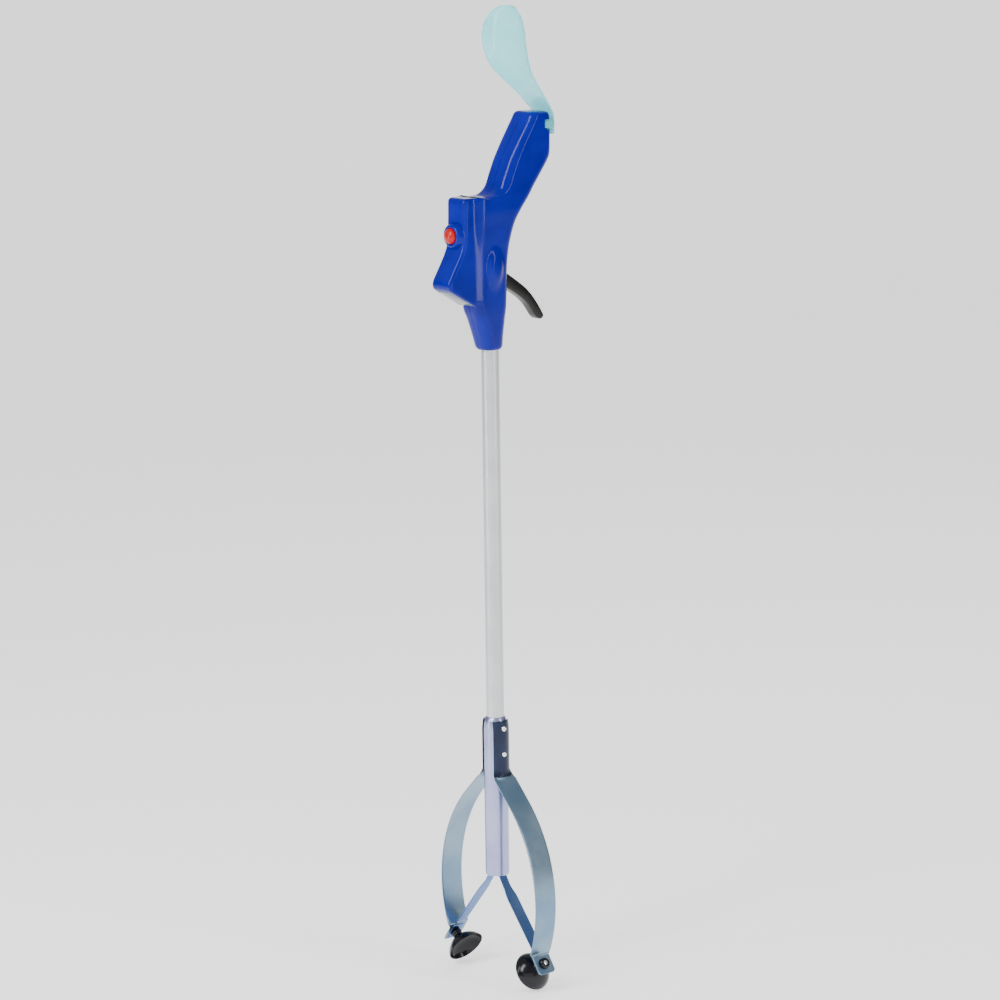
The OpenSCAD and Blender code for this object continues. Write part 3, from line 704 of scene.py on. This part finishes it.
def strip(name, stations, thickness, material, side):
    """A metal strip. A station is x, z, width, and the radius that it wraps round (0 is flat)."""
    count = len(stations)
    outer, under = [], []
    for i, (x, z, width, wrap) in enumerate(stations):
        ax, az = stations[max(i - 1, 0)][:2]
        bx, bz = stations[min(i + 1, count - 1)][:2]
        length = hypot(bx - ax, bz - az)
        nx, nz = (az - bz) / length, (bx - ax) / length
        for j in range(COLUMNS):
            u = width * (j / (COLUMNS - 1) - 0.5)
            if wrap:
                y, sag = wrap * sin(u / wrap), wrap * (1 - cos(u / wrap))
                ny, out = sin(u / wrap), cos(u / wrap)
            else:
                y, sag, ny, out = u, 0, 0, 1
            for rows, offset in ((outer, thickness / 2), (under, -thickness / 2)):
                d = offset * out - sag
                rows.append((side * (x + nx * d), y + offset * ny, z + nz * d))
    n = COLUMNS
    total = count * n
    faces = tube_faces(count, n, closed=False)
    faces += [tuple(total + k for k in reversed(f)) for f in faces]
    for i in range(count - 1):
        for j in (0, n - 1):
            a, b = i * n + j, (i + 1) * n + j
            faces.append((a, b, total + b, total + a))
    for i in (0, count - 1):
        for j in range(n - 1):
            a, b = i * n + j, i * n + j + 1
            faces.append((a, b, total + b, total + a))
    obj = piece(name, outer + under, faces, material)
    return sharpen(bevel(obj, 0.18, 2, 60), 50)


def paint_dark_reflection_above(obj, height):
    """Paints the riveted end of a strap near black: a painted reflection of dark surroundings on
    polished steel.
    """
    obj.data.materials.append(MATERIALS["painted_dark_reflection"])
    for face in obj.data.polygons:
        face.material_index = int(face.center.z > height * MM)


def outer_stations():
    """From the riveted end on the sleeve, out over the bow, round the fold to the tab's end."""
    rows = []
    top = Z_SLEEVE - 2.5
    for k in range(24):
        z = top + (HINGE_Z + 7 - top) * k / 23
        lean = 1.0 * (1 - ease(Z_SLEEVE - z, 0, 12))
        rows.append((11.95 - lean, z, 21.0, 11.9 - lean))
    for k in range(1, 8):
        t = k / 8
        z = HINGE_Z + 7 - 8.5 * t
        rows.append((11.95 + 1.2 * t * t, z, 21 + 2.5 * t, 11.9 / (1 - t) ** 0.7))
    start_x, start_z = 13.4, HINGE_Z - 2.2
    for k in range(8):
        t = k / 7
        rows.append((start_x + (run_x - start_x) * t, start_z + (run_z - start_z) * t, 24, 0))
    for k in range(1, 31):
        a = BOW_ANGLE + (BOW_END - BOW_ANGLE) * k / 30 * 0.985
        rows.append((bow_x + BOW_R * cos(a), bow_z + BOW_R * sin(a), OUTER_W, 0))
    for k in range(1, 7):
        t = k / 7
        turn = BOW_END + (TAB_LEAN - BOW_END) * t
        x, z = rows[-1][:2]
        rows.append((x + 0.45 * sin(turn), z - 0.45 * cos(turn), OUTER_W - 4 * t, 0))
    for k in range(1, 13):
        d = TAB_L * k / 12
        edge = max(d - (TAB_L - 3), 0)
        width = OUTER_W - 4.5 - 1.8 * (3 - sqrt(max(9 - edge * edge, 0)))
        rows.append((FOLD[0] + d * sin(TAB_LEAN), FOLD[1] - d * cos(TAB_LEAN), width, 0))
    return rows


def pull_stations():
    """From the yoke down to the sleeve's mouth, round the bend and out to the tab."""
    drop = (YOKE_TOP - MOUTH[1] - 5) / 8
    rows = [(MOUTH[0], YOKE_TOP - drop * k, INNER_W if k < 6 else PULL_NARROW, 0)
            for k in range(9)]
    dx, dz = FOLD[0] - MOUTH[0], MOUTH[1] - FOLD[1]
    reach = hypot(dx, dz) - PULL_END_GAP
    lean = atan2(dx, dz)
    x, z = rows[-1][:2]
    for k in range(1, 9):
        turn = lean * k / 8
        x, z = x + 1.05 * sin(turn), z - 1.05 * cos(turn)
        rows.append((x, z, PULL_NARROW, 0))
    begin = hypot(x - MOUTH[0], z - MOUTH[1])
    for k in range(1, 17):
        d = begin + (reach - begin) * k / 16
        width = PULL_NARROW + (INNER_W - PULL_NARROW) * ease(d, 10, 22)
        rows.append((MOUTH[0] + d * sin(lean), MOUTH[1] - d * cos(lean), width, 0))
    return rows


def tip_frame(side):
    """Frame at the middle of a tab: local Z points out of the cup's mouth."""
    mid = TAB_L / 2
    x, z = FOLD[0] + mid * sin(TAB_LEAN), FOLD[1] - mid * cos(TAB_LEAN)
    turn = Matrix.Rotation(-side * (pi / 2 + TAB_LEAN), 4, "Y")
    return Matrix.Translation((side * x, 0, z)) @ turn


# Lathe profiles along the tab's local Z: radius, height
CUP_PROFILE = [
    (0.2, 1.0), (4.4, 1.0), (5.0, 1.5), (5.3, 3.0), (4.8, 4.6), (4.7, 5.6), (5.4, 7.0), (7.4, 8.3),
    (10.4, 10.0), (13.2, 12.2), (15.4, 14.6), (16.9, 17.0), (17.7, 19.0), (17.9, 19.6), (17.6, 20),
    (17.1, 19.8), (16.2, 18.0), (14.5, 15.8), (12.2, 14.0), (8.0, 12.0), (3.0, 11.0), (0.2, 10.8)]
KNOB_PROFILE = [(1.6, -1.0), (4.6, -1.0), (5.1, -1.3), (5.2, -2.2), (4.9, -3.2), (4.1, -4.2),
                (3.2, -4.6), (2.7, -4.5), (2.6, -3.0), (1.6, -3.0), (1.6, -1.0)]
SCREW_PROFILE = [(0.1, 5), (1.4, 5), (1.45, -2.9), (2.4, -2.9), (2.5, -3.4), (2.3, -3.9),
                 (1.5, -4.2), (0.1, -4.3)]

for side, word in ((1, "right"), (-1, "left")):
    jaw = "jaw_" + word
    strap = strip("outer_spring_" + word, outer_stations(), STRAP_T, "spring_steel", side)
    # Painted reflection: the strap's wrapped end above the hinge is coloured near black
    paint_dark_reflection_above(strap, HINGE_Z + PAINTED_DARK_END)
    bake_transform(strap)
    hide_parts("strap_root_" + word, "outer_strap_" + word)
    pull = strip("inner_pull_" + word, pull_stations(), STRAP_T, "pull_strap_steel", side)
    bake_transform(pull)
    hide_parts("yoke_strap_" + word, "inner_strap_" + word)
    place = tip_frame(side)
    cup = turned("cup_" + word, smooth_line(CUP_PROFILE, 2), "black_rubber", place)
    stand(cup, jaw, "black_rubber", "suction_cup_" + word)
    knob = turned("knob_" + word, KNOB_PROFILE, "black_rubber", place)
    stand(knob, jaw, "black_rubber", "cup_knob_" + word)
    screw = turned("tip_screw_" + word, SCREW_PROFILE, "bright_steel", place)
    stand(screw, jaw, "bright_steel", "tab_screw_" + word)

# ---------------------------------------------------------------- shoehorn

# Back, height, half width, depth of the scoop
HORN = [
    (67.0, 106.2, 5, 0.1), (67.0, 110, 6, 0.1), (67.0, 119, 6.2, 0.2), (66.9, 120.5, 12, 0.3),
    (66.8, 122, 13, 0.3), (66.6, 137, 13, 0.5), (62.5, 145, 14.5, 1.5), (54.5, 156, 17, 3),
    (45.0, 167, 20.5, 4.5), (36.5, 178, 25, 6), (31.0, 190, 28, 6.5), (28.0, 203, 29, 7),
    (27.0, 216, 27.5, 6.5), (27.0, 226, 22, 5), (27.3, 231.5, 16, 4), (27.6, 234.8, 9, 2.5),
    (27.8, 235.9, 3, 1)]
HORN_T = 2.2
HORN_COLUMNS = 33
HORN_HOOK = ((-15.8, 55.2, 126.2), (15.8, 66, 132.8))


def shoehorn():
    """The blade: a scoop across its width, on a flat stem behind the handle."""
    rings = []
    for y, z, half, depth in smooth_line(HORN, 5):
        xs = [half * (2 * j / (HORN_COLUMNS - 1) - 1) for j in range(HORN_COLUMNS)]
        front = [(x, y - depth * (x / half) ** 2 - HORN_T / 2, z) for x in xs]
        back = [(x, y - depth * (x / half) ** 2 + HORN_T / 2, z) for x in reversed(xs)]
        rings.append(front + back)
    n = len(rings[0])
    verts = [p for ring in rings for p in ring]
    faces = tube_faces(len(rings), n)
    for base in (0, (len(rings) - 1) * n):
        for j in range(HORN_COLUMNS - 1):
            faces.append((base + j, base + j + 1, base + n - 2 - j, base + n - 1 - j))
    horn = piece("shoehorn_blade", verts, faces, "clear_cyan")
    return sharpen(bevel(horn, 0.5, 2, 60), 50)


stand(shoehorn(), ROOT, "clear_cyan", "shoehorn")
hook = bevel(block(*HORN_HOOK, "shoehorn_hook", "clear_cyan"), 0.8, 3)
stand(hook, ROOT, "clear_cyan")

# ---------------------------------------------------------------- parts kept from the frame

slots = {part["node"]: part["material_slot"] for part in frame["record"]["subparts"]}
for name, node in frame["nodes"].items():
    node.data.materials.clear()
    node.data.materials.append(MATERIALS[slots[name]])
